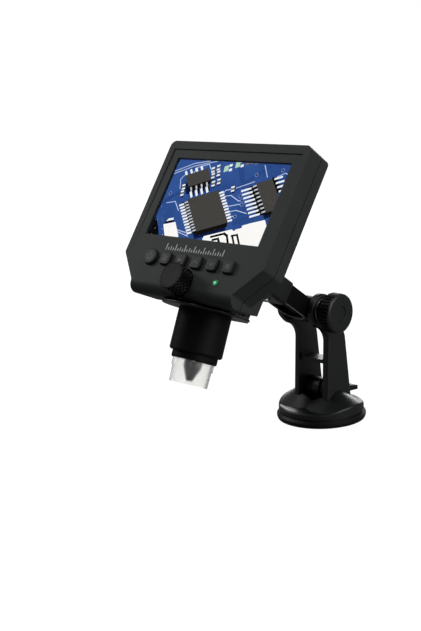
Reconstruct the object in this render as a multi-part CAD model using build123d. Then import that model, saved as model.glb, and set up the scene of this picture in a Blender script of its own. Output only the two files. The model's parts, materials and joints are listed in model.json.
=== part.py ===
from build123d import *
import os
from math import acos, atan2, cos, degrees, hypot, pi, radians, sin, sqrt, tan

# Desk microscope with its own screen, held by a lever suction foot. Millimetres.
# World frame: origin at the centre of the suction foot on the table, +X to the device's right,
# +Y away from the user, +Z up.
# Head frame, for all that the tilt hinge carries: x right, y up the screen, z out of the screen, origin
# at the centre of the picture. Barrel frame: z up the optical axis, y backward, origin at the head's bottom.

# Clearances
RUNNING = 0.05          # shaft in its hole, per side
SLIDING = 0.30          # faces of two bodies that pass each other
SEAT = 0.05             # between pieces that lie on each other inside the housing

# Display module: 4.3 inch, 16:9
PICTURE_W, PICTURE_H = 95.04, 53.86
LCD_W, LCD_H, LCD_T = 105.5, 67.2, 2.9
LCD_DROP = 0.6          # the module's centre below the picture's centre
PANE_T = 0.6
PANE_EDGE = 1.2         # how far the pane reaches under the bezel
PICTURE_GAP = 0.3       # bezel opening beyond the picture, per side

# Head housing, in the head frame
FACE_N = 1.3            # front of the rim
HEAD_SIDE, HEAD_EDGE = 5.95, 6.0        # from the display module to the housing's side and top
HEAD_W = LCD_W + 2 * HEAD_SIDE
HEAD_TOP = LCD_H / 2 - LCD_DROP + HEAD_EDGE
SHOULDER_V = -41.0      # where the side walls turn inward
CHIN_W, CHIN_V = 86.0, -58.5
SLAB_BACK = 17.3        # back wall of the upper housing, behind the picture plane
PART_LINE = 10.0        # seam between the two shells
WALL = 2.2
FACE_WALL = 2.4
RIM_W, RIM_STEP = 4.7, 0.7
CHIN_R = 6.1
CORNER_R, SHOULDER_R = 4.0, 2.5
SEAM_W, SEAM_DEPTH = 0.45, 0.6
POD_W, POD_TOP, POD_BACK, POD_SLOPE = 86.0, 30.0, 25.2, 7.0
SCREW_R, SCREW_HEAD_R, SCREW_LEN = 1.3, 2.4, 11.0
SCREW_INSET, SCREW_TOP, SCREW_LOW_V = 5.4, 7.6, -36.0      # screws in from the side and the top
SCREW_POST_R = 3.4

# Optical axis
BARREL_TILT = 12.04     # between the optical axis and the screen plane
BARREL_V, BARREL_N = -60.15, -26.5      # where the axis leaves the housing
BARREL_R, BARREL_BORE = 16.5, 13.0
BARREL_L = 28.8
BARREL_NECK_R, BARREL_NECK_L = 15.6, 4.5
NUT_R, NUT_T = 16.6, 2.0
BOSS_WALL = 2.0
BOSS_H = 42.0
GROOVE_R = 16.0         # swivel groove in the barrel
TIP_R, TIP_L = 14.2, 4.5                # ring that carries the lamps
TIP_SLEEVE_TOP = -8.0
CARRIAGE_R, CARRIAGE_BORE = 10.45, 8.4
CARRIAGE_LOW, CARRIAGE_BRACKET = -24.0, 2.5
NOSE_R, NOSE_TIP_R, NOSE_LOW = 5.6, 1.9, -45.5
NOSE_CONE_TOP = -37.0
LAMP_RING_R, LAMP_R, LAMP_H, LAMPS = 8.0, 1.0, 1.4, 8
BOARD_T = 1.0
CAP_COLLAR_R, CAP_COLLAR_L = 12.9, 4.6
CAP_R, CAP_LOW_R, CAP_L, CAP_WALL = 12.2, 11.9, 10.0, 1.2
SENSOR_Z, SENSOR_BOARD, SENSOR_CHIP, SENSOR_T = 34.0, 19.0, 9.0, 1.2
SHELF_T, SENSOR_SHELF_Y = 1.6, 1.0

# Focus drive
KNOB_V, KNOB_FRONT, KNOB_BACK = -55.5, 11.5, -2.7
KNOB_R, KNOB_BACK_R = 9.0, 8.3
WELL_R, WELL_WALL, WELL_FLOOR = 8.9, 0.7, 1.8
SHAFT_R = 1.5
TOOTH_MODULE, PINION_TEETH, PINION_W, PINION_DROP = 0.6, 8, 3.0, 1.3
RACK_W, RACK_BACK = 1.6, 3.0
FOCUS_UP, FOCUS_DOWN = 2.7, 2.0        # travel of the lens carriage from its rest
BACKLASH = 0.25
TOOTH_TIP, TOOTH_ROOT, FLANK = 0.7, 1.0, 20.0    # beyond the pitch line, in modules; flank angle

# Keys
KEY_V, KEY_PITCH, KEY_SIZE, KEY_R = -42.5, 13.2, 8.0, 1.8
KEY_FIRST_U, KEYS = -19.8, 5
POWER_U, POWER_R = -33.0, 5.0
KEY_PROUD, KEY_TRAVEL, KEY_GAP = 2.0, 0.4, 0.35
KEY_LIP, KEY_LIP_T, KEY_STEM = 1.0, 0.8, 1.0
SWITCH_W, SWITCH_H = 4.5, 1.5
LIGHT_U, LIGHT_V, LIGHT_R = 27.0, -53.0, 1.5

# Boards and battery
MAIN_INSET, MAIN_H, MAIN_T = 7.2, 55.0, 1.6
CHIP_T = 1.4
BATTERY_W, BATTERY_H, BATTERY_T, BATTERY_V = 62.0, 27.0, 7.0, 6.0
SOCKET_V_USB, SOCKET_V_CARD = -8.0, 14.0
USB_W, USB_H, CARD_W, CARD_H, SOCKET_D = 8.0, 3.0, 13.0, 2.2, 9.0

# Holder and arm, in the head frame
HINGE_V, HINGE_N = -21.1, -112.8        # tilt hinge seen from the picture's centre
RING_R, RING_T, RING_GAP = 27.5, 1.5, 1.0
LINER_T = 2.2
RISER_W, RISER_T, RISER_BACK = 21.0, 4.5, 54.0
RISER_TOP = -15.8
SOCKET_L, SOCKET_LOW = 26.5, -32.2
ARM_W = 19.2
ARM_TOP, ARM_LOW = -17.6, -29.9
ARM_EYE_R = 8.8
ARM_SKIN, ARM_SIDE = 2.6, 2.0
TENON_L, TENON_WALL = 16.0, 2.4

# Stand
SCREEN_LEAN = 35.3      # lean of the screen from upright
HINGE_Y, HINGE_Z = -12.9, 78.0
FORK_W, LEG_T = 30.0, 4.5
LEG_FRONT, LEG_BACK = -8.7, 15.5
LEG_FOOT_FRONT = -11.5
LEG_SHOULDER_Y, LEG_SHOULDER_Z, LEG_SHOULDER_R = 10.0, 58.0, 14.0
LEG_EDGE_R = 2.0
WEB_LOW, WEB_TOP, WEB_DEPTH, WEB_R = 40.0, 42.6, 11.0, 3.5      # cross web between the legs
LEG_BOSS_R, LEG_BEND_R = 11.5, 12.0
LEG_FOOT_Z = 9.0
BOSS_PAD_R, BOSS_PAD_T = 9.5, 2.2
BOLT_R, BOLT_HEAD_AF, BOLT_HEAD_T = 3.0, 10.0, 3.6
HAND_R, HAND_IN, HAND_OUT, HAND_RIM = 13.2, 21.0, 29.8, 1.4
HAND_NECK_R, HAND_RIBS, RIB_R, RIB_OUT = 7.6, 42, 0.65, 0.15
HAND_DISH_R, HAND_DISH = 5.2, 0.7
INSERT_R, INSERT_L = 5.0, 7.5
SPRING_WASHER_T = 1.0
COVER_R, COVER_LOW, COVER_EDGE, COVER_TOP = 29.1, 5.8, 3.6, 12.0
COVER_WALL, COVER_EDGE_R = 2.4, 1.5
HUMP_R, HUMP_CROWN_R, HUMP_RISE = 20.8, 4.0, 10.3      # cone that each leg grows out of
CUP_R, CUP_H, CUP_SOLE, CUP_PAD = 30.5, 4.6, 0.8, 2.0
CUP_GROOVE_IN, CUP_GROOVE_W, CUP_GROOVE_D = 4.0, 1.0, 0.4
CLAMP_RING_R, CLAMP_RING_T = 28.0, 1.2
CENTRE_R = 16.5         # part of the cup that the stem draws up

# Suction lever
PIN_Y, PIN_Z, PIN_R = 1.87, 19.6, 1.5
LEVER_SWING = 60.0
LIFT = 2.0              # how far the lever draws the cup's centre up
CAM_R, CAM_W = 4.5, 6.0
LEVER_W = 19.8
HUB_R = 7.0
TAB_TIP_Y, TAB_TIP_Z, TAB_T, TAB_W, TAB_L, TAB_CHEEK = 31.9, 13.8, 2.8, 14.0, 14.0, 3.0
EYE_WALL = 1.8
STEM_R, STEM_PLATE_R, STEM_PLATE_T = 3.0, 15.5, 1.6

# ---------------------------------------------------------------------------------------------- frames
tilt = radians(BARREL_TILT)
lean = radians(SCREEN_LEAN)
HALF_FORK = FORK_W / 2
LEG_IN = HALF_FORK - LEG_T
SCREEN_UP = Vector(0, sin(lean), cos(lean))
SCREEN_OUT = Vector(0, -cos(lean), sin(lean))
HEAD_ORIGIN = Vector(0, HINGE_Y, HINGE_Z) - SCREEN_UP * HINGE_V - SCREEN_OUT * HINGE_N
HEAD = Plane(origin=HEAD_ORIGIN, x_dir=(1, 0, 0), z_dir=SCREEN_OUT)
BARREL = Plane(origin=(0, BARREL_V, BARREL_N), x_dir=(1, 0, 0), z_dir=(0, cos(tilt), sin(tilt)))
PANE_FRONT = FACE_N - RIM_STEP - 0.9
FACE_INSIDE = FACE_N - FACE_WALL
BOSS_BORE = BARREL_R + 0.8
BOSS_R = BOSS_BORE + BOSS_WALL
WELL_BOTTOM = KNOB_BACK - SLIDING
PITCH_R = TOOTH_MODULE * PINION_TEETH / 2
PINION_N = WELL_BOTTOM - WELL_FLOOR - PINION_DROP - PINION_W / 2
LINER_H = RING_T - 0.6
LCD_BACK = FACE_INSIDE - SEAT - LCD_T
MAIN_W = HEAD_W - 2 * MAIN_INSET
PAD_Z = CUP_SOLE + SEAT + LIFT           # underside of the cup's pad, drawn up
STEM_PLATE_Z = PAD_Z + CUP_PAD + SEAT
parts = {}


def add(name, shape, plane=None):
    """Files a sub-part under its name, moved from the given frame into the world."""
    parts[name] = plane.location * shape if plane else shape


def in_barrel(shape):
    """From the barrel frame into the head frame."""
    return BARREL.location * shape


def disc(radius, low, high, x=0, y=0):
    return Pos(x, y, low) * Cylinder(radius, high - low, align=(Align.CENTER, Align.CENTER, Align.MIN))


def tube(radius, bore, low, high):
    return disc(radius, low, high) - disc(bore, low - 1, high + 1)


def slab(x0, x1, y0, y1, z0, z1):
    return Pos((x0 + x1) / 2, (y0 + y1) / 2, (z0 + z1) / 2) * Box(x1 - x0, y1 - y0, z1 - z0)


def rod_x(radius, y, z, x0, x1):
    return Pos((x0 + x1) / 2, y, z) * Rot(0, 90, 0) * Cylinder(radius, x1 - x0)


def side_extrude(face, x0, x1):
    """A sketch drawn as (y, z), made solid from x0 to x1."""
    return extrude(Plane.YZ.offset(x0) * face, x1 - x0)


def bottom_v(n, inset=0.0):
    """Height of the housing's bottom, square to the optical axis, at depth n."""
    return BARREL_V + inset / cos(tilt) - (n - BARREL_N) * tan(tilt)


# ---------------------------------------------------------------------------------------------- housing
def front_outline(inset):
    """Front view of the housing: a wide slab whose lower corners are cut back to a narrower chin."""
    side, low = HEAD_W / 2, BARREL_V - 3 * CHIN_R
    right = [(side, HEAD_TOP), (side, SHOULDER_V), (CHIN_W / 2, CHIN_V), (CHIN_W / 2, low)]
    points = right + [(-x, y) for x, y in reversed(right)]
    face = make_face(Polyline(points, close=True))
    if inset:
        face = offset(face, -inset, kind=Kind.INTERSECTION)
    corners = face.vertices().sort_by(Axis.Y)
    face = fillet(corners[-2:], CORNER_R - inset * 0.8)
    turns = face.vertices().filter_by_position(Axis.Y, CHIN_V - WALL, SHOULDER_V + WALL)
    return fillet(turns, SHOULDER_R)


def side_outline(back, inset, top=HEAD_TOP):
    """Side view of the housing as (v, n), with the rounded chin at the lower front."""
    front = FACE_N - (FACE_WALL if inset else 0)
    rear = -back + inset
    points = [(top - inset, front), (top - inset, rear), (bottom_v(rear, inset), rear),
              (bottom_v(front, inset), front)]
    face = make_face(Polyline(points, close=True))
    chin = face.vertices().sort_by_distance((0, bottom_v(front, inset), front))
    corner = min(face.vertices(), key=lambda p: hypot(p.X - points[3][0], p.Y - points[3][1]))
    return fillet(corner, CHIN_R - inset) if chin else face


def pod_outline(inset):
    """Side view of the deeper pod on the back, with a sloping top."""
    back = -POD_BACK + inset
    inside = -SLAB_BACK + WALL
    top = POD_TOP - inset
    return make_face(Polyline([(top, inside), (top - POD_SLOPE, back), (bottom_v(back, inset), back),
                               (bottom_v(inside, inset), inside)], close=True))


def housing(inset):
    """The closed form of the whole housing, drawn in by inset on every side."""
    half = HEAD_W / 2 - inset
    body = side_extrude(side_outline(SLAB_BACK, inset), -half, half)
    body &= extrude(Pos(0, 0, -SLAB_BACK) * front_outline(inset), SLAB_BACK + FACE_N)
    pod_half = POD_W / 2 - inset
    pod = side_extrude(pod_outline(inset), -pod_half, pod_half)
    boss_radius = BOSS_BORE if inset else BOSS_R
    boss = disc(boss_radius, inset, BOSS_H - inset)
    boss = fillet(boss.edges().sort_by(Axis.Z)[-1], boss_radius / 2)
    return body + pod + in_barrel(boss)


def beyond(n_low, n_high):
    reach = HEAD_W
    return slab(-reach, reach, -reach, reach, n_low, n_high)


def key_hole(u, grow):
    side = KEY_SIZE + 2 * grow
    return Pos(u, KEY_V) * RectangleRounded(side, side, KEY_R + grow)


def key_us():
    return [KEY_FIRST_U + i * KEY_PITCH for i in range(KEYS)]


def screw_places():
    out = HEAD_W / 2 - SCREW_INSET
    return [(x, v) for x in (-out, out) for v in (HEAD_TOP - SCREW_TOP, SCREW_LOW_V)]


def make_shells():
    outer, inner = housing(0.0), housing(WALL)
    shell = outer - inner
    seam = beyond(-PART_LINE, -PART_LINE + SEAM_W) - extrude(
        Pos(0, 0, -SLAB_BACK) * offset(front_outline(0), -SEAM_DEPTH), SLAB_BACK + FACE_N)
    front = shell & beyond(-PART_LINE, FACE_N)
    rear = shell & beyond(-POD_BACK * 3, -PART_LINE)

    rim_half, rim_top = HEAD_W / 2 - RIM_W, HEAD_TOP - RIM_W - 1
    recess = make_face(Polyline([(rim_top, FACE_N + 1), (rim_top, FACE_N - RIM_STEP), (SHOULDER_V, FACE_N),
                                 (SHOULDER_V, FACE_N + 1)], close=True))
    front -= side_extrude(recess, -rim_half, rim_half)
    opening = Rectangle(PICTURE_W + 2 * PICTURE_GAP, PICTURE_H + 2 * PICTURE_GAP)
    front -= extrude(Pos(0, 0, FACE_INSIDE - 1) * opening, FACE_WALL + 2)
    front -= extrude(Pos(0, 0, FACE_INSIDE) * pane_sketch(SEAT), PANE_FRONT - FACE_INSIDE)
    well_boss = disc(WELL_R + WELL_WALL, WELL_BOTTOM - WELL_FLOOR, FACE_INSIDE + SEAT, y=KNOB_V)
    front += well_boss & inner
    front -= disc(WELL_R, WELL_BOTTOM, FACE_N + 1, y=KNOB_V)
    front -= disc(SHAFT_R + RUNNING, WELL_BOTTOM - 2 * WELL_FLOOR, FACE_N, y=KNOB_V)
    for u in key_us():
        front -= extrude(Pos(0, 0, FACE_INSIDE - 1) * key_hole(u, KEY_GAP), FACE_WALL + 2)
    front -= disc(POWER_R + KEY_GAP, FACE_INSIDE - 1, FACE_N + 1, POWER_U, KEY_V)
    front -= disc(LIGHT_R + RUNNING, FACE_INSIDE - 1, FACE_N + 1, LIGHT_U, LIGHT_V)
    front -= seam

    rear -= in_barrel(disc(BARREL_NECK_R + RUNNING, -1, WALL + 1))
    rear += in_barrel(sensor_shelf()) & outer
    for x, v in screw_places():
        rear += disc(SCREW_POST_R, -SLAB_BACK + WALL / 2, -PART_LINE, x, v) & outer
        rear -= disc(SCREW_R + RUNNING, -SLAB_BACK - 1, -PART_LINE + 1, x, v)
        rear -= disc(SCREW_HEAD_R + RUNNING, -SLAB_BACK - 1, -SLAB_BACK + WALL, x, v)
        front += disc(SCREW_POST_R, -PART_LINE, LCD_BACK - SLIDING, x, v) & outer
        front -= disc(SCREW_R + RUNNING, -PART_LINE - 1, -SLAB_BACK + SCREW_LEN + SLIDING, x, v)
    for v, width, height, n in sockets():
        hole = slab(-HEAD_W, -HEAD_W / 2 + WALL + 1, v - width / 2, v + width / 2, n - height / 2, n + height / 2)
        rear -= hole
        front -= hole
    add("front_shell", front, HEAD)
    add("rear_shell", rear, HEAD)
    for i, (x, v) in enumerate(screw_places(), 1):
        head = disc(SCREW_HEAD_R, -SLAB_BACK + 0.3, -SLAB_BACK + WALL, x, v)
        slot = slab(x - SCREW_HEAD_R, x + SCREW_HEAD_R, v - 0.4, v + 0.4, -SLAB_BACK, -SLAB_BACK + 1)
        add(f"shell_screw_{i}", head - slot + disc(SCREW_R, -SLAB_BACK + WALL, -SLAB_BACK + SCREW_LEN, x, v),
            HEAD)


def sensor_shelf():
    """Ledge in the top of the boss that the sensor board lies on."""
    half = SENSOR_BOARD / 2 + 4
    low = SENSOR_Z - SEAT - SHELF_T
    shelf = slab(-half, half, SENSOR_SHELF_Y, BOSS_R - WALL / 2, low, low + SHELF_T)
    return shelf - disc(SENSOR_BOARD / 2 - 1.5, low - 1, low + SHELF_T + 1)


def sockets():
    """Places of the two sockets on the left side: height up the side, width, height and depth."""
    middle = main_board_front() - MAIN_T - USB_H / 2
    return [(SOCKET_V_USB, USB_W, USB_H, middle), (SOCKET_V_CARD, CARD_W, CARD_H, middle)]


# ---------------------------------------------------------------------------------------------- inside the head
def pane_sketch(grow=0.0):
    width = PICTURE_W + 2 * (PICTURE_GAP + PANE_EDGE + grow)
    height = PICTURE_H + 2 * (PICTURE_GAP + PANE_EDGE + grow)
    return Rectangle(width, height)


def main_board_front():
    return LCD_BACK - 0.5


def make_display():
    add("screen_pane", extrude(Pos(0, 0, PANE_FRONT - PANE_T - SEAT) * pane_sketch(), PANE_T), HEAD)
    add("lcd_panel", Pos(0, -LCD_DROP, LCD_BACK + LCD_T / 2) * Box(LCD_W, LCD_H, LCD_T), HEAD)


def make_boards():
    front = main_board_front()
    board = slab(-MAIN_W / 2, MAIN_W / 2, -MAIN_H / 2, MAIN_H / 2, front - MAIN_T, front)
    for x, v, side in ((-18, 6, 14), (14, 12, 11), (30, -6, 8), (-2, -12, 7)):
        board += slab(x - side / 2, x + side / 2, v - side / 2, v + side / 2, front - MAIN_T - CHIP_T,
                      front - MAIN_T)
    add("main_board", board, HEAD)
    for name, (v, width, height, n) in zip(("usb_socket", "card_socket"), sockets()):
        left = -HEAD_W / 2 + WALL / 2
        body = slab(left, left + SOCKET_D, v - width / 2 + SEAT, v + width / 2 - SEAT,
                    n - height / 2 + SEAT, n + height / 2 - SEAT)
        mouth = slab(left - 1, left + SOCKET_D - 1.5, v - width / 2 + 0.6, v + width / 2 - 0.6,
                     n - height / 2 + 0.5, n + height / 2 - 0.5)
        add(name, body - mouth, HEAD)
    back = -POD_BACK + WALL + SEAT
    cell = slab(-BATTERY_W / 2, BATTERY_W / 2, BATTERY_V - BATTERY_H / 2, BATTERY_V + BATTERY_H / 2,
                back, back + BATTERY_T)
    add("battery", fillet(cell.edges().filter_by(Axis.X), 2.0), HEAD)


def make_keys():
    top = FACE_N + KEY_PROUD
    lip_top = FACE_INSIDE - 0.1
    stem_low = lip_top - KEY_LIP_T - KEY_STEM
    switch_top = stem_low - KEY_TRAVEL - 0.1
    board_top = switch_top - SWITCH_H
    board = slab(POWER_U - 8, key_us()[-1] + 8, KEY_V - 5.5, KEY_V + 5.5, board_top - BOARD_T, board_top)
    for u in [POWER_U] + key_us():
        board += slab(u - SWITCH_W / 2, u + SWITCH_W / 2, KEY_V - SWITCH_W / 2, KEY_V + SWITCH_W / 2,
                      board_top, switch_top)
    board -= disc(WELL_R + WELL_WALL + SLIDING, board_top - 2 * BOARD_T, switch_top + 1, y=KNOB_V)
    add("key_board", board, HEAD)
    for i, u in enumerate(key_us(), 1):
        cap = extrude(Pos(0, 0, lip_top) * key_hole(u, 0), top - lip_top)
        cap = fillet(cap.edges().group_by(Axis.Z)[-1], 0.7)
        lip = extrude(Pos(0, 0, lip_top - KEY_LIP_T) * key_hole(u, KEY_LIP), KEY_LIP_T)
        lip -= disc(WELL_R + WELL_WALL + SLIDING, lip_top - 2 * KEY_LIP_T, lip_top, y=KNOB_V)
        add(f"key_{i}", cap + lip + disc(1.5, stem_low, lip_top, u, KEY_V), HEAD)
    cap = disc(POWER_R, lip_top, top, POWER_U, KEY_V)
    cap = fillet(cap.edges().sort_by(Axis.Z)[-1], 0.9)
    lip = disc(POWER_R + KEY_LIP, lip_top - KEY_LIP_T, lip_top, POWER_U, KEY_V)
    add("power_button", cap + lip + disc(1.5, stem_low, lip_top, POWER_U, KEY_V), HEAD)
    dome = disc(LIGHT_R, FACE_INSIDE - 1.0, FACE_N + 0.5, LIGHT_U, LIGHT_V)
    dome = fillet(dome.edges().sort_by(Axis.Z)[-1], 0.5)
    add("status_light", dome + disc(LIGHT_R + 0.8, FACE_INSIDE - 2.0, FACE_INSIDE - SEAT, LIGHT_U, LIGHT_V),
        HEAD)


# ---------------------------------------------------------------------------------------------- optics
def make_barrel():
    body = disc(BARREL_R, -BARREL_L, 0) + disc(BARREL_NECK_R, 0, BARREL_NECK_L)
    body = chamfer(body.edges().sort_by(Axis.Z)[0], 0.9)
    body -= disc(BARREL_BORE, -BARREL_L - 1, BARREL_NECK_L + 1)
    body -= tube(BARREL_R + 1, GROOVE_R, liner_low() - 0.1, liner_low() + LINER_H + 0.1)
    add("barrel", in_barrel(body), HEAD)
    add("barrel_nut", in_barrel(tube(NUT_R, BARREL_NECK_R, WALL + SEAT, WALL + SEAT + NUT_T)), HEAD)


def liner_low():
    return -RING_GAP - RING_T / 2 - LINER_H / 2


def make_tip():
    low = -BARREL_L - TIP_L
    ring = disc(TIP_R, low, -BARREL_L)
    ring = chamfer(ring.edges().sort_by(Axis.Z)[0], 0.7)
    ring += disc(BARREL_BORE - SEAT, -BARREL_L, TIP_SLEEVE_TOP)
    seat_z = low + 1.0
    ring -= disc(CARRIAGE_R + RUNNING, seat_z, TIP_SLEEVE_TOP + 1)
    ring -= disc(LAMP_RING_R + LAMP_R + 0.4, low - 1, seat_z + 1)
    add("lamp_ring", in_barrel(ring), HEAD)
    board = tube(CARRIAGE_R, NOSE_R + 0.9, seat_z + SEAT, seat_z + SEAT + BOARD_T)
    for i in range(LAMPS):
        angle = 2 * pi * i / LAMPS
        x, y = LAMP_RING_R * cos(angle), LAMP_RING_R * sin(angle)
        lamp = disc(LAMP_R, seat_z + SEAT - LAMP_H, seat_z + SEAT, x, y)
        board += fillet(lamp.edges().sort_by(Axis.Z)[0], LAMP_R * 0.7)
    add("lamp_board", in_barrel(board), HEAD)


def make_cap():
    top = -BARREL_L - TIP_L
    step = top - CAP_COLLAR_L
    low = step - CAP_L
    profile = Polyline([(CAP_R - CAP_WALL, top), (CAP_COLLAR_R, top), (CAP_COLLAR_R, step), (CAP_R, step),
                        (CAP_LOW_R, low), (CAP_LOW_R - CAP_WALL, low)], close=True)
    add("clear_cap", in_barrel(revolve(Plane.XZ * make_face(profile), Axis.Z)), HEAD)


def make_sensor():
    half = SENSOR_BOARD / 2
    board = slab(-half, half, -half, half, SENSOR_Z, SENSOR_Z + BOARD_T)
    add("sensor_board", in_barrel(board), HEAD)
    side = SENSOR_CHIP / 2
    add("image_sensor", in_barrel(slab(-side, side, -side, side, SENSOR_Z - SENSOR_T, SENSOR_Z)), HEAD)


# ---------------------------------------------------------------------------------------------- focus drive
def tooth():
    """One tooth as a sketch that grows along +x from its pitch line at x = 0."""
    tip, base = TOOTH_TIP * TOOTH_MODULE, (TOOTH_ROOT + 0.3) * TOOTH_MODULE
    half, slope = (pi * TOOTH_MODULE / 2 - BACKLASH) / 2, tan(radians(FLANK))
    return make_face(Polyline([(-base, -half - base * slope), (tip, -half + tip * slope),
                               (tip, half - tip * slope), (-base, half + base * slope)], close=True))


def pinion_in_barrel():
    """The pinion's centre seen in the barrel frame, as (y, z)."""
    dv, dn = KNOB_V - BARREL_V, PINION_N - BARREL_N
    return dv * sin(tilt) - dn * cos(tilt), dv * cos(tilt) + dn * sin(tilt)


def make_focus_knob():
    profile = make_face(Polyline([(0, KNOB_BACK), (KNOB_BACK_R, KNOB_BACK), (KNOB_R, KNOB_FRONT - 1.0),
                                  (KNOB_R - 0.9, KNOB_FRONT), (0, KNOB_FRONT)], close=True))
    knob = revolve(Plane.XZ * profile, Axis.Z)
    knob -= disc(SHAFT_R, KNOB_BACK - 1, KNOB_FRONT - 3)
    add("focus_knob", Pos(0, KNOB_V, 0) * knob, HEAD)
    back = PINION_N - PINION_W / 2
    shaft = disc(SHAFT_R, back + PINION_W, KNOB_FRONT - 3)
    add("focus_shaft", Pos(0, KNOB_V, 0) * shaft, HEAD)
    gear = Circle(PITCH_R - TOOTH_ROOT * TOOTH_MODULE)
    shape = tooth()
    for i in range(PINION_TEETH):
        gear += Rot(0, 0, (i + 0.5) * 360 / PINION_TEETH) * Pos(PITCH_R, 0) * shape
    add("focus_pinion", Pos(0, KNOB_V, back) * extrude(gear, PINION_W), HEAD)


def rack_ends():
    """Lower and upper end of the rack, which stays in mesh over the carriage's whole travel."""
    z_mid = pinion_in_barrel()[1]
    reach = 2.2 * TOOTH_MODULE
    return z_mid - FOCUS_UP - reach, z_mid + FOCUS_DOWN + reach


def make_rack():
    """Toothed bar beside the pinion. Its teeth lean by the barrel's tilt, so they run along the shaft."""
    y_mid, z_mid = pinion_in_barrel()
    z_low, z_high = rack_ends()
    y_low, y_high = y_mid - RACK_W / 2, y_mid + RACK_W / 2
    root_x = PITCH_R + TOOTH_ROOT * TOOTH_MODULE
    pitch = pi * TOOTH_MODULE
    shape = tooth()
    row = Sketch()
    count = int((z_high - z_low) / pitch) + 2
    for i in range(-count, count + 1):
        row += Pos(PITCH_R, KNOB_V + i * pitch) * Rot(0, 0, 180) * shape
    teeth = extrude(Pos(0, 0, PINION_N - PINION_W) * row, 2 * PINION_W)
    band = slab(0, root_x + 1, y_low, y_high, z_low, z_high)
    bar = slab(root_x, root_x + RACK_BACK, y_low, y_high, z_low, z_high)
    return bar + (BARREL.location.inverse() * teeth & band)


def make_carriage():
    y_mid = pinion_in_barrel()[0]
    y_low = y_mid - RACK_W / 2
    root_x = PITCH_R + TOOTH_ROOT * TOOTH_MODULE
    top = rack_ends()[1]
    body = tube(CARRIAGE_R, CARRIAGE_BORE, CARRIAGE_LOW, top)
    bracket = slab(root_x, root_x + RACK_BACK, y_low, 0, top - CARRIAGE_BRACKET, top)
    bracket -= disc(CARRIAGE_BORE + 0.5, top - 2 * CARRIAGE_BRACKET, top + 1)
    floor = tube(CARRIAGE_R, NOSE_R - 1.2, CARRIAGE_LOW - 1.5, CARRIAGE_LOW)
    add("lens_carriage", in_barrel(body + floor + make_rack() + bracket), HEAD)
    glass = disc(CARRIAGE_BORE, CARRIAGE_LOW + 2, CARRIAGE_LOW + 5)
    add("field_lens", in_barrel(fillet(glass.edges(), 0.9)), HEAD)
    nose_top = CARRIAGE_LOW - 1.5
    profile = Polyline([(NOSE_R - 1.2, nose_top), (NOSE_R, nose_top), (NOSE_R, NOSE_CONE_TOP),
                        (NOSE_TIP_R, NOSE_LOW), (NOSE_TIP_R - 0.6, NOSE_LOW),
                        (NOSE_TIP_R - 0.6, NOSE_LOW + 2), (NOSE_R - 1.2, NOSE_CONE_TOP)], close=True)
    add("lens_nose", in_barrel(revolve(Plane.XZ * make_face(profile), Axis.Z)), HEAD)
    tip = disc(NOSE_TIP_R - 0.6, NOSE_LOW + 0.2, NOSE_LOW + 1.6)
    add("objective_lens", in_barrel(tip), HEAD)


# ---------------------------------------------------------------------------------------------- holder and arm
def ring_high():
    return -RING_GAP


def make_holder():
    """Ring round the barrel, a riser behind the head and the socket that takes the arm."""
    low = ring_high() - RING_T
    reach = (RISER_BACK + BARREL_N) / cos(tilt)
    ring = disc(RING_R, low, ring_high())
    ring = fillet(ring.edges().filter_by(GeomType.CIRCLE), RING_T * 0.42)
    ring += slab(-RISER_W / 2, RISER_W / 2, GROOVE_R + LINER_T, reach, low, ring_high())
    ring -= disc(GROOVE_R + LINER_T, low - 1, 0)
    foot = bottom_v(-RISER_BACK, 0) + (low - 0.2) / cos(tilt)
    riser = slab(-RISER_W / 2, RISER_W / 2, foot, RISER_TOP, -RISER_BACK, -RISER_BACK + RISER_T)
    riser -= in_barrel(slab(-RISER_W, RISER_W, -RISER_W, 3 * RISER_W, low - 20, low))
    back = -RISER_BACK - SOCKET_L
    socket = slab(-RISER_W / 2, RISER_W / 2, SOCKET_LOW, RISER_TOP, back, -RISER_BACK + RISER_T)
    socket = fillet(socket.edges().filter_by(Axis.Z), 2.5)
    socket += gusset(-RISER_W / 2) + gusset(RISER_W / 2 - 3)
    socket -= tenon(RUNNING, back - 1, back + TENON_L + RUNNING)
    socket -= rod_y(1.6 + RUNNING, SOCKET_LOW - 1, ARM_LOW + 2 * TENON_WALL, back + TENON_L / 2)
    body = in_barrel(ring) + riser + socket
    add("holder", body, HEAD)
    liner = tube(GROOVE_R + LINER_T, GROOVE_R + RUNNING, liner_low(), liner_low() + LINER_H)
    liner -= slab(-0.5, 0.5, -2 * GROOVE_R, 0, -RING_R, 0)
    add("ring_liner", in_barrel(liner), HEAD)


def rod_y(radius, y0, y1, z, x=0):
    return Pos(x, (y0 + y1) / 2, z) * Rot(90, 0, 0) * Cylinder(radius, y1 - y0)


def gusset(x):
    """Triangular rib between the riser and the underside of the socket."""
    low = SOCKET_LOW - 10
    face = make_face(Polyline([(SOCKET_LOW + 1, -RISER_BACK + 1), (low, -RISER_BACK + 1),
                               (SOCKET_LOW + 1, -RISER_BACK - 12)], close=True))
    return side_extrude(face, x, x + 3)


def tenon(grow, n_low, n_high):
    """The arm's end that plugs into the holder's socket."""
    half = ARM_W / 2 - TENON_WALL + grow + 1
    return slab(-half, half, ARM_LOW + TENON_WALL - grow, ARM_TOP - TENON_WALL + grow, n_low, n_high)


def arm_outline():
    """Side view of the arm: its eye round the hinge bolt and the bar toward the holder."""
    end = -RISER_BACK - SOCKET_L
    bar = make_face(Polyline([(ARM_TOP, end), (ARM_LOW, end), (ARM_LOW, HINGE_N), (HINGE_V, HINGE_N - 1),
                              (ARM_TOP, HINGE_N)], close=True))
    return bar + Pos(HINGE_V, HINGE_N) * Circle(ARM_EYE_R)


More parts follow.
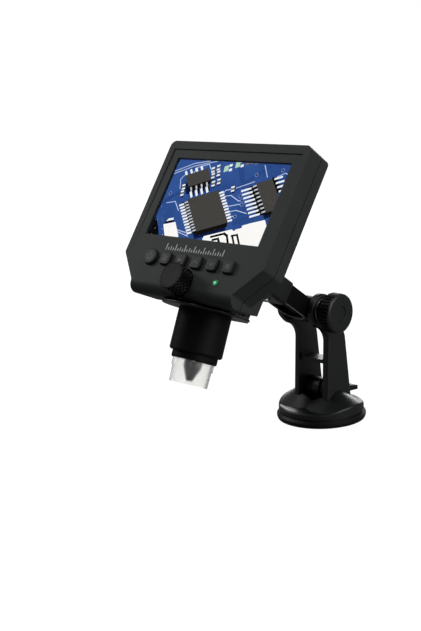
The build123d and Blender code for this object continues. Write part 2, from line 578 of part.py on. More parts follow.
def make_arm():
    end = -RISER_BACK - SOCKET_L
    half = ARM_W / 2
    body = side_extrude(arm_outline(), -half, half)
    inner = half - ARM_SIDE
    trough_start = HINGE_N + ARM_EYE_R + 3
    trough = slab(-inner, inner, ARM_LOW - 1, ARM_TOP - ARM_SKIN, trough_start, end - 3)
    round_end = rod_y(inner, ARM_LOW - 1, ARM_TOP - ARM_SKIN, trough_start)
    body -= trough + (round_end & slab(-inner, inner, ARM_LOW - 2, ARM_TOP, HINGE_N + BOLT_R + 3, end))
    body += slab(-0.9, 0.9, ARM_LOW + 1.5, ARM_TOP - ARM_SKIN + 1, HINGE_N + BOLT_R + 3, end - 1)
    body += tenon(0, end - 1, end + TENON_L)
    body -= rod_x(BOLT_R + RUNNING, HINGE_V, HINGE_N, -half - 1, half + 1)
    body -= rod_y(1.6, ARM_LOW - 1, ARM_LOW + 2 * TENON_WALL + 2, end + TENON_L / 2)
    add("arm", body, HEAD)
    screw = rod_y(1.6, SOCKET_LOW, ARM_LOW + 2 * TENON_WALL, end + TENON_L / 2)
    screw += rod_y(3.0, SOCKET_LOW - 1.6, SOCKET_LOW, end + TENON_L / 2)
    screw -= slab(-0.4, 0.4, SOCKET_LOW - 2, SOCKET_LOW - 0.9, end, end + TENON_L)
    add("arm_screw", screw, HEAD)


# ---------------------------------------------------------------------------------------------- stand
def leg_outline():
    """Side view of one leg as (y, z): a tapered column whose front sweeps forward into the hinge boss."""
    bend_y = LEG_FRONT - LEG_BEND_R
    reach = LEG_BEND_R + LEG_BOSS_R
    bend_z = HINGE_Z - sqrt(reach ** 2 - (HINGE_Y - bend_y) ** 2)
    join = Vector(bend_y, bend_z) + Vector(HINGE_Y - bend_y, HINGE_Z - bend_z).normalized() * LEG_BEND_R
    mid = Vector(bend_y, bend_z) + Vector(1, 0).rotate(
        Axis.Z, degrees(atan2(join.Y - bend_z, join.X - bend_y)) / 2) * LEG_BEND_R
    dy, dz = LEG_SHOULDER_Y - HINGE_Y, LEG_SHOULDER_Z - HINGE_Z
    touch = atan2(dz, dy) + acos(LEG_BOSS_R / hypot(dy, dz))
    rear = (HINGE_Y + LEG_BOSS_R * cos(touch), HINGE_Z + LEG_BOSS_R * sin(touch))
    top = (HINGE_Y + LEG_BOSS_R * cos(touch + 1.5), HINGE_Z + LEG_BOSS_R * sin(touch + 1.5))
    column = make_face([
        Line((LEG_FOOT_FRONT, LEG_FOOT_Z), (LEG_FRONT, bend_z)),
        ThreePointArc((LEG_FRONT, bend_z), (mid.X, mid.Y), (join.X, join.Y)),
        ThreePointArc((join.X, join.Y), top, rear),
        Line(rear, (LEG_SHOULDER_Y, LEG_SHOULDER_Z)),
        Line((LEG_SHOULDER_Y, LEG_SHOULDER_Z), (LEG_BACK, LEG_FOOT_Z)),
        Line((LEG_BACK, LEG_FOOT_Z), (LEG_FOOT_FRONT, LEG_FOOT_Z)),
    ])
    corner = min(column.vertices(), key=lambda p: hypot(p.X - LEG_SHOULDER_Y, p.Y - LEG_SHOULDER_Z))
    return fillet(corner, LEG_SHOULDER_R)


def side_slot():
    """The slot between the legs above the web, with rounded lower corners."""
    high = HINGE_Z
    sketch = Pos(0, (WEB_TOP + high) / 2) * RectangleRounded(2 * LEG_IN, high - WEB_TOP, WEB_R)
    return extrude(Plane.XZ * sketch, LEG_BACK * 2, both=True)


def make_fork():
    outline = leg_outline()
    right = side_extrude(outline, LEG_IN, HALF_FORK)
    right = fillet(right.faces().sort_by(Axis.X)[-1].edges(), LEG_EDGE_R)
    left = mirror(right, about=Plane.YZ)
    left += rod_x(BOSS_PAD_R, HINGE_Y, HINGE_Z, -HALF_FORK - BOSS_PAD_T, -HALF_FORK + 1)
    edge_top = COVER_LOW + COVER_EDGE
    cover = disc(COVER_R, COVER_LOW, edge_top)
    for side in (-1, 1):
        cover += Pos(side * (HALF_FORK - LEG_T / 2), 0, edge_top) * Cone(
            HUMP_R, HUMP_CROWN_R, HUMP_RISE, align=(Align.CENTER, Align.CENTER, Align.MIN))
    cover &= disc(COVER_R, COVER_LOW, edge_top + HUMP_RISE)
    rim = cover.faces().filter_by(GeomType.CYLINDER).sort_by(SortBy.AREA)[-1]
    cover = fillet([e for e in rim.edges() if e.center().Z > COVER_LOW + 0.1], COVER_EDGE_R)
    half_tab = TAB_W / 2 + SLIDING
    cover -= slab(-LEG_IN, LEG_IN, LEG_FRONT, LEG_BACK, COVER_TOP, edge_top + HUMP_RISE + 1)
    cover -= slab(-half_tab, half_tab, 0, COVER_R + 1, COVER_TOP, edge_top + HUMP_RISE + 1)
    web = slab(-LEG_IN - 1, LEG_IN + 1, LEG_FRONT + 1, LEG_FRONT + 1 + WEB_DEPTH, WEB_LOW, WEB_TOP + WEB_R)
    web -= side_slot()
    body = cover + right + left + web
    body -= disc(STEM_PLATE_R + 1.2, COVER_LOW - 1, COVER_TOP - COVER_WALL)
    body -= disc(STEM_R + RUNNING, COVER_LOW, COVER_TOP + 1)
    body -= rod_x(BOLT_R + RUNNING, HINGE_Y, HINGE_Z, -FORK_W, FORK_W)
    body -= bolt_hex(-HALF_FORK - BOSS_PAD_T - 1, -HALF_FORK - BOSS_PAD_T + BOLT_HEAD_T, RUNNING)
    body -= rod_x(PIN_R, PIN_Y, PIN_Z, -LEG_IN - LEG_T * 0.7, LEG_IN + LEG_T * 0.7)
    add("fork", body)


def bolt_hex(x0, x1, grow=0.0):
    radius = (BOLT_HEAD_AF / 2 + grow) / cos(pi / 6)
    return side_extrude(Pos(HINGE_Y, HINGE_Z) * RegularPolygon(radius, 6), x0, x1)


def make_hinge_hardware():
    head_in = -HALF_FORK - BOSS_PAD_T + BOLT_HEAD_T
    bolt = bolt_hex(head_in - BOLT_HEAD_T + 0.4, head_in)
    bolt += rod_x(BOLT_R, HINGE_Y, HINGE_Z, head_in, HAND_IN + INSERT_L)
    add("hinge_bolt", bolt)
    side_gap = LEG_IN - ARM_W / 2
    for name, side in (("washer_left", -1), ("washer_right", 1)):
        inner, outer = side * (ARM_W / 2 + RUNNING), side * (LEG_IN - SEAT)
        ring = rod_x(ARM_EYE_R - 0.8, HINGE_Y, HINGE_Z, min(inner, outer), max(inner, outer))
        add(name, ring - rod_x(BOLT_R + RUNNING, HINGE_Y, HINGE_Z, -FORK_W, FORK_W))
    assert side_gap > 0.5
    disc_low, disc_high = HALF_FORK + SEAT, HALF_FORK + SEAT + SPRING_WASHER_T
    steel = rod_x(HAND_NECK_R + 1.4, HINGE_Y, HINGE_Z, disc_low, disc_high)
    add("steel_washer", steel - rod_x(BOLT_R + RUNNING, HINGE_Y, HINGE_Z, 0, FORK_W))


def make_hand_knob():
    neck_in = HALF_FORK + 2 * SEAT + SPRING_WASHER_T
    profile = Polyline([(0, neck_in), (HAND_NECK_R, neck_in), (HAND_NECK_R, HAND_IN), (HAND_R - 0.8, HAND_IN),
                        (HAND_R, HAND_IN + 0.8), (HAND_R, HAND_OUT - HAND_RIM), (HAND_R - HAND_RIM, HAND_OUT),
                        (HAND_DISH_R, HAND_OUT), (HAND_DISH_R - 0.3, HAND_OUT - HAND_DISH),
                        (0, HAND_OUT - HAND_DISH)], close=True)
    knob = revolve(Plane.XZ * make_face(profile), Axis.Z)
    for i in range(HAND_RIBS):
        knob -= Rot(0, 0, i * 360 / HAND_RIBS) * disc(RIB_R, HAND_IN - 1, HAND_OUT + 1, HAND_R + RIB_OUT)
    knob -= disc(INSERT_R, HAND_IN - 5, HAND_IN + INSERT_L)
    to_axis = Pos(0, HINGE_Y, HINGE_Z) * Rot(0, 90, 0)
    add("hinge_knob", to_axis * knob)
    insert = tube(INSERT_R, BOLT_R + RUNNING, neck_in, HAND_IN + INSERT_L)
    add("knob_insert", to_axis * insert)


def make_foot():
    rim = 1.6
    profile = make_face(Polyline([(0, 0), (CUP_R - 0.6, 0), (CUP_R, rim), (CUP_R, CUP_H - rim),
                                  (CUP_R - rim, CUP_H), (CENTRE_R + 2, CUP_H), (CENTRE_R + SLIDING, CUP_PAD),
                                  (CENTRE_R + SLIDING, CUP_SOLE), (0, CUP_SOLE)], close=True))
    cup = revolve(Plane.XZ * profile, Axis.Z)
    groove = CUP_R - CUP_GROOVE_IN
    cup -= tube(groove, groove - CUP_GROOVE_W, -1, CUP_GROOVE_D)
    add("suction_cup", cup)
    add("clamp_ring", tube(CLAMP_RING_R, CENTRE_R + 2, CUP_H, CUP_H + CLAMP_RING_T))
    add("cup_centre", disc(CENTRE_R, PAD_Z, PAD_Z + CUP_PAD))


def cam_centre():
    """The cam's centre at rest: half the lift above the pin, and in front of it."""
    half = radians(LEVER_SWING / 2)
    throw = LIFT / 2 / sin(half)
    return PIN_Y - throw * cos(half), PIN_Z + throw * sin(half)


def make_lever():
    half = LEVER_W / 2
    cam_y, cam_z = cam_centre()
    hub = rod_x(HUB_R, PIN_Y, PIN_Z, -half, half)
    waist = rod_x(HUB_R + EYE_WALL + 4, PIN_Y, PIN_Z, -CAM_W / 2, CAM_W / 2)
    body = hub - waist
    tail = make_face(Polyline([(PIN_Y - 1, PIN_Z + 2.5), (TAB_TIP_Y, TAB_TIP_Z + TAB_T / 2),
                               (TAB_TIP_Y, TAB_TIP_Z - TAB_T / 2), (PIN_Y + 3, PIN_Z - 4)], close=True))
    for x0 in (-TAB_W / 2, TAB_W / 2 - TAB_CHEEK):
        body += side_extrude(tail, x0, x0 + TAB_CHEEK)
    tab_start = TAB_TIP_Y - TAB_L
    tab = make_face(Polyline([(tab_start, TAB_TIP_Z + TAB_T / 2 + 1.0), (TAB_TIP_Y, TAB_TIP_Z + TAB_T / 2),
                              (TAB_TIP_Y, TAB_TIP_Z - TAB_T / 2), (tab_start, TAB_TIP_Z - TAB_T / 2 + 1.0)],
                             close=True))
    body += side_extrude(tab, -TAB_W / 2, TAB_W / 2)
    body += rod_x(CAM_R, cam_y, cam_z, -CAM_W / 2 - 0.01, CAM_W / 2 + 0.01)
    body -= rod_x(PIN_R + RUNNING, PIN_Y, PIN_Z, -half - 1, half + 1)
    add("suction_lever", body)
    add("lever_pin", rod_x(PIN_R, PIN_Y, PIN_Z, -LEG_IN - LEG_T * 0.7, LEG_IN + LEG_T * 0.7))


def make_stem():
    """Stem whose eye rides on the lever's cam and whose plate is bonded over the cup's centre."""
    cam_y, cam_z = cam_centre()
    half = CAM_W / 2 - SLIDING
    sway = 0.45
    eye = rod_x(CAM_R + EYE_WALL, 0, cam_z, -half, half)
    window = side_extrude(Pos(0, cam_z) * SlotCenterToCenter(2 * sway, 2 * (CAM_R + RUNNING)), -half - 1, half + 1)
    foot = STEM_PLATE_Z + STEM_PLATE_T
    shape = eye + disc(STEM_R, STEM_PLATE_Z, cam_z - CAM_R - 1) + disc(STEM_PLATE_R, STEM_PLATE_Z, foot)
    add("cup_stem", shape - window)


make_shells()
make_display()
make_boards()
make_keys()
make_barrel()
make_tip()
make_cap()
make_sensor()
make_focus_knob()
make_carriage()
make_holder()
make_arm()
make_fork()
make_hinge_hardware()
make_hand_knob()
make_foot()
make_lever()
make_stem()

os.makedirs("parts", exist_ok=True)
for name, shape in parts.items():
    export_step(shape, f"parts/{name}.step")
    print(name, len(shape.solids()), round(shape.volume))
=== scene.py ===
import json
import math

import bpy
from mathutils import Matrix, Vector


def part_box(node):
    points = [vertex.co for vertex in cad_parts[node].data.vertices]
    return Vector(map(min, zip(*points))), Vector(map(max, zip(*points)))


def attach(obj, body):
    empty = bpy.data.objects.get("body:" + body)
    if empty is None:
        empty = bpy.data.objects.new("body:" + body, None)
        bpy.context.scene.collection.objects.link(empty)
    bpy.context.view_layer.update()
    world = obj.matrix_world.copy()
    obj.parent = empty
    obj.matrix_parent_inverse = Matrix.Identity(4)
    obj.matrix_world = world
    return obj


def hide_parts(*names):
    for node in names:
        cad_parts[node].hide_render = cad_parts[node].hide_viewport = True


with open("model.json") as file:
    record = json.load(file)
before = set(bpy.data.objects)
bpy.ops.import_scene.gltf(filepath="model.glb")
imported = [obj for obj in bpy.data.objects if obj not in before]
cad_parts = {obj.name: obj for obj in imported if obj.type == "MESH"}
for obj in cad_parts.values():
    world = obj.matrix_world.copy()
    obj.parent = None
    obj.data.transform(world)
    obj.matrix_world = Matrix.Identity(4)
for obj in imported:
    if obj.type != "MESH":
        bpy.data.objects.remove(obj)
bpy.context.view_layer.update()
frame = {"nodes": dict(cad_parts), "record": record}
nodes = frame["nodes"]
MM = 0.001

# ------------------------------------------------------------------------------------------ shared geometry
# Lengths in millimetres. In the head's frame u runs across, v up and n out of the face, from the picture's centre.
HINGE_Y, HINGE_Z = -12.9, 78.0                              # the hinge bolt in the world
HINGE_V, HINGE_N = -21.1, -112.8                            # and in the head's frame
LEAN = math.radians(35.3)
PICTURE_W, PICTURE_H = 95.04, 53.86
LCD_FRONT = -1.15
FACE_N = 1.3
KEY_V, KEY_TOP = -42.5, 3.3
KEY_1_U, KEY_PITCH, POWER_U = -19.8, 13.2, -33.0
KEY_US = [KEY_1_U + KEY_PITCH * i for i in range(5)]
KNOB_V, KNOB_BACK, KNOB_FRONT = -55.5, -2.7, 11.5           # the focus knob
KNOB_R, KNOB_BACK_R = 9.0, 8.3
GRIP_R, GRIP_IN, GRIP_OUT = 13.2, 21.0, 29.8                # the clamp knob's grip
LIGHT_U, LIGHT_V, LIGHT_R = 27.0, -53.0, 1.5                # the status light
SPOT_PROUD = 0.515                                          # its bright spot above the face: the lamp's glow, set off centre as a painted highlight too
ARM_LOW, TROUGH_NEAR, TROUGH_END = -29.9, -82.5, -101.0     # the open trough in the arm's underside
TROUGH_RIM_X, TROUGH_RIM_R = 8.6, 0.6
SCALE_U, SCALE_V, SCALE_MARKS, SCALE_STEP, SCALE_HALF_W = -24.0, -36.2, 25, 2.0, 0.36
SCALE_TALL, SCALE_MIDDLE, SCALE_LOW = 4.2, 2.6, 1.7
PRINT_LIFT = 0.012                                          # ink above what it is printed on
LAYER = 0.012                                               # between the layers of the display's picture

UP = Vector((0, math.sin(LEAN), math.cos(LEAN)))
OUT = Vector((0, -math.cos(LEAN), math.sin(LEAN)))
RIGHT = Vector((1, 0, 0))
HEAD_ORIGIN = Vector((0, HINGE_Y, HINGE_Z)) - UP * HINGE_V - OUT * HINGE_N


def basis(x, y, z, origin):
    m = Matrix((x, y, z)).transposed().to_4x4()
    m.translation = origin
    return m


WORLD = Matrix.Identity(4)
HEAD = basis(RIGHT, UP, OUT, HEAD_ORIGIN)


def piece(name, verts, faces, material, body, plane=HEAD, smooth=False):
    """A mesh piece given in millimetres in one of the frames, riding on a body."""
    mesh = bpy.data.meshes.new(name)
    mesh.from_pydata([(plane @ Vector(v)) * MM for v in verts], [], faces)
    mesh.validate()
    mesh.update()
    obj = bpy.data.objects.new(name, mesh)
    bpy.context.collection.objects.link(obj)
    obj.data.materials.append(material)
    for f in mesh.polygons:
        f.use_smooth = smooth
    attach(obj, body)
    return obj


def turned_faces(rows, around):
    """The faces between rings of points, each ring given point by point all the way round."""
    return [(i * around + j, i * around + (j + 1) % around, (i + 1) * around + (j + 1) % around, (i + 1) * around + j)
            for i in range(rows - 1) for j in range(around)]


def front_up(points):
    """The polygon's points in the order that faces its front towards the viewer."""
    area = sum(points[i - 1][0] * p[1] - p[0] * points[i - 1][1] for i, p in enumerate(points))
    return points if area > 0 else points[::-1]


# ------------------------------------------------------------------------------------------ materials
BLOTCH_SCALE = 60.0                                         # noise cells per metre of slow colour variation
METAL_GRAIN, METAL_GRAIN_DEPTH, METAL_SPREAD, METAL_ROUGH_SPREAD = 900, 0.000006, 0.05, 0.06
BOARD_MOTTLE = 45.0                                         # noise cells per metre on the pictured board
UNLIT_SHARE = 0.05                                          # what a lit colour keeps as plain colour


def new_material(name):
    m = bpy.data.materials.new(name)
    m.use_nodes = True
    tree = m.node_tree
    return m, tree, tree.nodes["Principled BSDF"]


def add_grain(tree, bsdf, scale, depth):
    """Fine moulded grain as a bump from noise in object space."""
    coords = tree.nodes.new("ShaderNodeTexCoord")
    noise = tree.nodes.new("ShaderNodeTexNoise")
    noise.inputs["Scale"].default_value = scale
    noise.inputs["Detail"].default_value = 2.0
    bump = tree.nodes.new("ShaderNodeBump")
    bump.inputs["Strength"].default_value = 1.0
    bump.inputs["Distance"].default_value = depth
    tree.links.new(coords.outputs["Object"], noise.inputs["Vector"])
    tree.links.new(noise.outputs["Fac"], bump.inputs["Height"])
    tree.links.new(bump.outputs["Normal"], bsdf.inputs["Normal"])
    return coords, noise


def vary(tree, bsdf, coords, color, spread, rough, rough_spread):
    """Slow variation of colour and roughness, as handling and moulding leave."""
    noise = tree.nodes.new("ShaderNodeTexNoise")
    noise.inputs["Scale"].default_value = BLOTCH_SCALE
    noise.inputs["Detail"].default_value = 3.0
    tree.links.new(coords.outputs["Object"], noise.inputs["Vector"])
    ramp = tree.nodes.new("ShaderNodeValToRGB")
    ramp.color_ramp.elements[0].position, ramp.color_ramp.elements[1].position = 0.35, 0.65
    ramp.color_ramp.elements[0].color = (*[c * (1 - spread) for c in color], 1)
    ramp.color_ramp.elements[1].color = (*[c * (1 + spread) for c in color], 1)
    tree.links.new(noise.outputs["Fac"], ramp.inputs["Fac"])
    tree.links.new(ramp.outputs["Color"], bsdf.inputs["Base Color"])
    span = tree.nodes.new("ShaderNodeMapRange")
    span.inputs["To Min"].default_value = rough - rough_spread
    span.inputs["To Max"].default_value = rough + rough_spread
    tree.links.new(noise.outputs["Fac"], span.inputs["Value"])
    tree.links.new(span.outputs["Result"], bsdf.inputs["Roughness"])


def plastic(name, color, rough, grain_scale=1500, grain_depth=0.00002, spread=0.06, rough_spread=0.05, specular=0.5):
    """Moulded plastic or rubber with its grain."""
    m, tree, bsdf = new_material(name)
    coords, _ = add_grain(tree, bsdf, grain_scale, grain_depth)
    vary(tree, bsdf, coords, color, spread, rough, rough_spread)
    bsdf.inputs["Specular IOR Level"].default_value = specular
    return m


def metal(name, color, rough, brushed=0.0):
    """Machined metal, with its grain drawn out along y where it is brushed."""
    m, tree, bsdf = new_material(name)
    bsdf.inputs["Metallic"].default_value = 1.0
    coords, noise = add_grain(tree, bsdf, METAL_GRAIN, METAL_GRAIN_DEPTH)
    if brushed:
        stretch = tree.nodes.new("ShaderNodeMapping")
        stretch.inputs["Scale"].default_value = (1.0, brushed, 1.0)
        tree.links.new(coords.outputs["Object"], stretch.inputs["Vector"])
        tree.links.new(stretch.outputs["Vector"], noise.inputs["Vector"])
    vary(tree, bsdf, coords, color, METAL_SPREAD, rough, METAL_ROUGH_SPREAD)
    return m


def clear(name, color, rough, ior):
    """Clear plastic or glass."""
    m, _, bsdf = new_material(name)
    bsdf.inputs["Base Color"].default_value = (*color, 1)
    bsdf.inputs["Roughness"].default_value = rough
    bsdf.inputs["IOR"].default_value = ior
    bsdf.inputs["Transmission Weight"].default_value = 1.0
    return m


def lit(name, color):
    """A colour of the lit display or of a lamp, which hardly reflects."""
    m, _, bsdf = new_material(name)
    bsdf.inputs["Base Color"].default_value = (*[c * UNLIT_SHARE for c in color], 1)
    bsdf.inputs["Specular IOR Level"].default_value = 0.0
    bsdf.inputs["Roughness"].default_value = 0.5
    bsdf.inputs["Emission Color"].default_value = (*color, 1)
    bsdf.inputs["Emission Strength"].default_value = 1.0
    return m


def lit_board(name, dark, light):
    """Lit blue circuit board seen on the display, with faint inner layers."""
    m, tree, bsdf = new_material(name)
    coords = tree.nodes.new("ShaderNodeTexCoord")
    noise = tree.nodes.new("ShaderNodeTexNoise")
    noise.inputs["Scale"].default_value = BOARD_MOTTLE
    noise.inputs["Detail"].default_value = 4.0
    ramp = tree.nodes.new("ShaderNodeValToRGB")
    ramp.color_ramp.elements[0].position, ramp.color_ramp.elements[1].position = 0.4, 0.62
    ramp.color_ramp.elements[0].color = (*dark, 1)
    ramp.color_ramp.elements[1].color = (*light, 1)
    tree.links.new(coords.outputs["Object"], noise.inputs["Vector"])
    tree.links.new(noise.outputs["Fac"], ramp.inputs["Fac"])
    tree.links.new(ramp.outputs["Color"], bsdf.inputs["Emission Color"])
    bsdf.inputs["Base Color"].default_value = (0.001, 0.003, 0.01, 1)
    bsdf.inputs["Specular IOR Level"].default_value = 0.0
    bsdf.inputs["Emission Strength"].default_value = 1.0
    return m


# plastic: colour, roughness, cells of grain per metre, its depth in metres, spread of colour and roughness, specular
MATERIALS = {
    "housing_black": plastic("housing_black", (0.0295, 0.033, 0.0323), 0.58, 2600, 0.00001, 0.05, 0.05, 0.2),
    "stand_black": plastic("stand_black", (0.0034, 0.0044, 0.0049), 0.4, 700, 0.000012, 0.05, 0.05, 0.5),
    "key_black": plastic("key_black", (0.02, 0.0215, 0.0225), 0.5, 2600, 0.00002, 0.05, 0.05, 0.25),
    "knob_black": plastic("knob_black", (0.006, 0.0066, 0.0066), 0.55, 2600, 0.00003, 0.05, 0.05, 0.16),
    "barrel_black": plastic("barrel_black", (0.0045, 0.0046, 0.0052), 0.5, 2200, 0.00003, 0.05, 0.05, 0.1),
    "cup_rubber": plastic("cup_rubber", (0.004, 0.004, 0.004), 0.48, 500, 0.00002, 0.08, 0.08, 0.22),
    "liner_white": plastic("liner_white", (0.7, 0.7, 0.67), 0.4),
    "pane": clear("pane", (1.0, 1.0, 1.0), 0.0, 1.02),
    "display": plastic("display", (0.02, 0.03, 0.06), 0.4),
    "board_green": plastic("board_green", (0.01, 0.09, 0.035), 0.35),
    "board_white": plastic("board_white", (0.75, 0.75, 0.72), 0.45),
    "steel": metal("steel", (0.55, 0.55, 0.56), 0.3, 0.05),
    "brass": metal("brass", (0.62, 0.43, 0.16), 0.28),
    "battery_grey": plastic("battery_grey", (0.3, 0.31, 0.33), 0.4),
    "lens_black": plastic("lens_black", (0.012, 0.012, 0.013), 0.35),
    "lens_glass": clear("lens_glass", (0.85, 0.93, 0.97), 0.0, 1.5),
    "clear_plastic": clear("clear_plastic", (0.9, 0.9, 0.885), 0.2, 1.49),
    "light_green": lit("light_green", (0.015, 0.28, 0.09)),
    # the status light's bright spot: the lamp's glow and a painted highlight on it
    "lamp_glow_and_highlight": lit("lamp_glow_and_highlight", (0.3, 0.85, 0.5)),
    "light_rim": plastic("light_rim", (0.008, 0.05, 0.02), 0.3),
    "chip_black": plastic("chip_black", (0.008, 0.008, 0.008), 0.35),
    "arm_black": plastic("arm_black", (0.0022, 0.0022, 0.0026), 0.45, 700, 0.000012, 0.05, 0.06, 0.15),
    # the grips' black, darker than the faces of the same knobs: painted shade in the grooves
    "grip_black_shaded": plastic("grip_black_shaded", (0.003, 0.003, 0.0034), 0.45, 700, 0.000012, 0.05, 0.06, 0.14),
    "lever_black": plastic("lever_black", (0.004, 0.004, 0.0045), 0.5, 700, 0.000012, 0.05, 0.06, 0.3),
    # pale grey of the bead round the arm's trough: a painted highlight along its edge
    "painted_highlight_grey": plastic("painted_highlight_grey", (0.24, 0.24, 0.24), 0.3),
    "mark_grey": plastic("mark_grey", (0.075, 0.077, 0.08), 0.5),
    "mark_white": plastic("mark_white", (0.55, 0.55, 0.56), 0.5),
}
OWN_FINISH = {"suction_lever": "lever_black", "arm": "arm_black"}
for row in frame["record"]["subparts"]:
    for slot in nodes[row["node"]].material_slots:
        slot.material = MATERIALS[OWN_FINISH.get(row["node"], row["material_slot"])]

# ------------------------------------------------------------------------------------------ picture on the display
class Picture:
    """Flat lit shapes that make the picture, one mesh for each colour."""

    def __init__(self):
        self.shapes = {}

    def add(self, colour, points, layer):
        clipped = clip(points, PICTURE_W / 2, PICTURE_H / 2)
        if len(clipped) >= 3:
            self.shapes.setdefault(colour, []).append(
                [(x, y, LCD_FRONT + LAYER * (layer + 1)) for x, y in clipped])

    def build(self, materials):
        for colour, shapes in self.shapes.items():
            verts, faces = [], []
            for shape in shapes:
                faces.append(tuple(range(len(verts), len(verts) + len(shape))))
                verts += shape
            piece(f"picture_{colour}", verts, faces, materials[colour], "head")


def clip(points, half_x, half_y):
    """Cuts a polygon to the display's edges."""
    points = [tuple(p) for p in points]
    for axis, sign, limit in ((0, 1, half_x), (0, -1, half_x), (1, 1, half_y), (1, -1, half_y)):
        out = []
        for i, p in enumerate(points):
            q = points[i - 1]
            inside_p, inside_q = p[axis] * sign <= limit, q[axis] * sign <= limit
            if inside_p != inside_q:
                t = (sign * limit - q[axis]) / (p[axis] - q[axis])
                out.append(tuple(q[k] + t * (p[k] - q[k]) for k in (0, 1)))
            if inside_p:
                out.append(p)
        points = out
    return front_up(points)


ALONG, DOWN = Vector((0.943, 0.331)), Vector((0.70, -0.778))
START = Vector((-26.2, -0.6))                               # the middle chip's corner on the display
CHIP_LEAN, SHADOW_REACH = 0.2, 1.7                          # slant of a chip's near side, and its shadow in such sides
SHOULDER = 2.4                                              # length of a leg's bright part next to its chip
SMALL_PART_W, SMALL_PART_H, SMALL_PART_SLANT = 2.4, 3.6, 0.35
VIA_RIM, VIA_HOLE, DISC_SIDES = 1.3, 0.8, 14


def at(a, b):
    """A place on the pictured board, along and down its skewed grid, to the display's x and y."""
    p = START + ALONG * a + DOWN * b
    return p.x, p.y


def quad(a0, a1, b0, b1):
    return [at(a0, b0), at(a1, b0), at(a1, b1), at(a0, b1)]


def line(picture, colour, points, width, layer, place=at):
    """A track between places, drawn as strips with square ends."""
    for start, end in zip(points, points[1:]):
        p, q = Vector(place(*start)), Vector(place(*end))
        side = (q - p).normalized() * (width / 2)
        across = Vector((-side.y, side.x))
        picture.add(colour, [tuple(p - side + across), tuple(p - side - across), tuple(q + side - across),
                             tuple(q + side + across)], layer)


def straight(x, y):
    return x, y


def disc(picture, colour, x, y, radius, layer):
    turn = 2 * math.pi / DISC_SIDES
    picture.add(colour, [(x + radius * math.cos(turn * i), y + radius * math.sin(turn * i))
                         for i in range(DISC_SIDES)], layer)


def via(picture, x, y):
    """A plated hole: a dark disc on a brighter one."""
    disc(picture, "rim", x, y, VIA_RIM, 5)
    disc(picture, "hole", x, y, VIA_HOLE, 6)


def chip(picture, a0, a1, b0, b1, thick):
    """A packaged chip with its shadow and its shaded near sides."""
    base = [Vector(p) for p in quad(a0, a1, b0, b1)]
    drop = Vector((CHIP_LEAN * thick, -thick))
    picture.add("shade", [tuple(p + drop * SHADOW_REACH) for p in base], 2)
    for i, j in ((3, 2), (2, 1)):
        picture.add("chip_side", [tuple(base[i]), tuple(base[j]), tuple(base[j] + drop), tuple(base[i] + drop)], 7)
    picture.add("chip_top", [tuple(p) for p in base], 8)


def legs(picture, edge, way, first, last, count, reach, pad):
    """A row of bent legs along one long side of a chip: a bright shoulder, a dark bend and a bright soldered foot."""
    near, far = sorted((edge, edge + way * (reach - pad * 0.7)))
    picture.add("hole", quad(near, far, first - 1.0, last + 1.8), 4)
    for i in range(count):
        b = first + (last - first) * i / (count - 1)
        tip, heel, shoulder = edge + way * reach, edge + way * (reach - pad), edge + way * min(SHOULDER, reach - pad)
        if reach - pad > 2.0:
            line(picture, "leg", [(edge + way * 0.5, b - 0.3), (shoulder, b - 0.1)], 1.15, 5)
            line(picture, "chip_top", [(shoulder, b), (heel, b + 0.5)], 0.5, 5)
        line(picture, "pad", [(heel, b + 0.6), (tip, b + 0.6)], 1.4, 6)


def small_part(picture, x, y):
    """A chip resistor or capacitor: two bright ends and a body between them, on a slant."""
    tilt = Vector((-SMALL_PART_H * SMALL_PART_SLANT, SMALL_PART_H))
    lean_x = Vector((SMALL_PART_W, SMALL_PART_W * SMALL_PART_SLANT))
    low = Vector((x, y))
    corners = [low, low + lean_x, low + lean_x + tilt, low + tilt]
    picture.add("shade", [tuple(p + Vector((0.5, -1.0))) for p in corners], 3)
    picture.add("part", [tuple(p) for p in corners], 5)
    for t0, t1 in ((0.0, 0.3), (0.7, 1.0)):
        picture.add("pad", [tuple(low + tilt * t0), tuple(low + lean_x + tilt * t0), tuple(low + lean_x + tilt * t1),
                            tuple(low + tilt * t1)], 6)


BOARD_INNER = (                                             # faint shapes of the board's inner layers
    [(-50, -4), (-22, 14), (-24, 11), (-50, -8)], [(0, 30), (16, 8), (19, 8), (6, 30)],
    [(2, 4), (30, 26), (33, 26), (6, 3)], [(18, -12), (36, -6), (36, -8), (20, -15)])
BOARD_EDGE = [(-50, -12.5), (-46, -15.5), (-41, -21.5), (-36, -30), (-50, -30)]
TRACKS = (
    [(-48, 18.2), (-33, 24.6), (-20, 27)], [(-48, 16.4), (-32, 22.8), (-14, 27)],
    [(-31.5, 15.8), (-28.5, 22.0), (-20, 24.6), (-16.2, 20.6)], [(-37, 17.0), (-39.5, 13.0), (-36.6, 6.4)],
    [(1.5, 4.6), (2.8, 7.6), (7.6, 8.8)], [(10.6, 9.6), (23.0, 14.6)],
    [(3.6, 3.4), (8.4, 4.6), (16.6, 1.2), (18.4, 2.0)], [(7.0, -3.6), (17.6, -1.0), (19.4, -0.9)],
    [(11.0, -6.8), (17.4, -5.0), (26.6, -6.4)], [(13.6, -9.6), (18.5, -8.8)], [(26, 25.8), (31.5, 18.2)],
    [(37.0, 17.6), (44.0, 21.4), (47.5, 20.6)], [(-31.6, -24.0), (-24, -22.6), (-13, -25.0)],
    [(-27.6, -21.0), (-14, -23.0)], [(-43, -4), (-36, -2.6), (-30, -8.6)])
TRACK_W = 0.5
VIAS = ((22.5, 19.1), (-43.4, 2.8), (19.0, 1.8), (20.2, -1.0), (18.8, -9.0), (41.5, 23.2), (16.4, 4.4))
SMALL_PARTS = ((-33.6, 1.2), (-34.6, 5.6), (-10.4, 9.2), (-6.6, 11.0), (-13.4, 14.6), (-9.6, 16.4), (-15.4, 18.6),
               (-11.6, 20.4), (7.4, 6.6))
SOLDER_PADS = ((-5.4, 19.6), (2.8, 22.8))
EDGE_PARTS = ((10.6, 25.0), (14.0, 26.0), (17.4, 25.6))
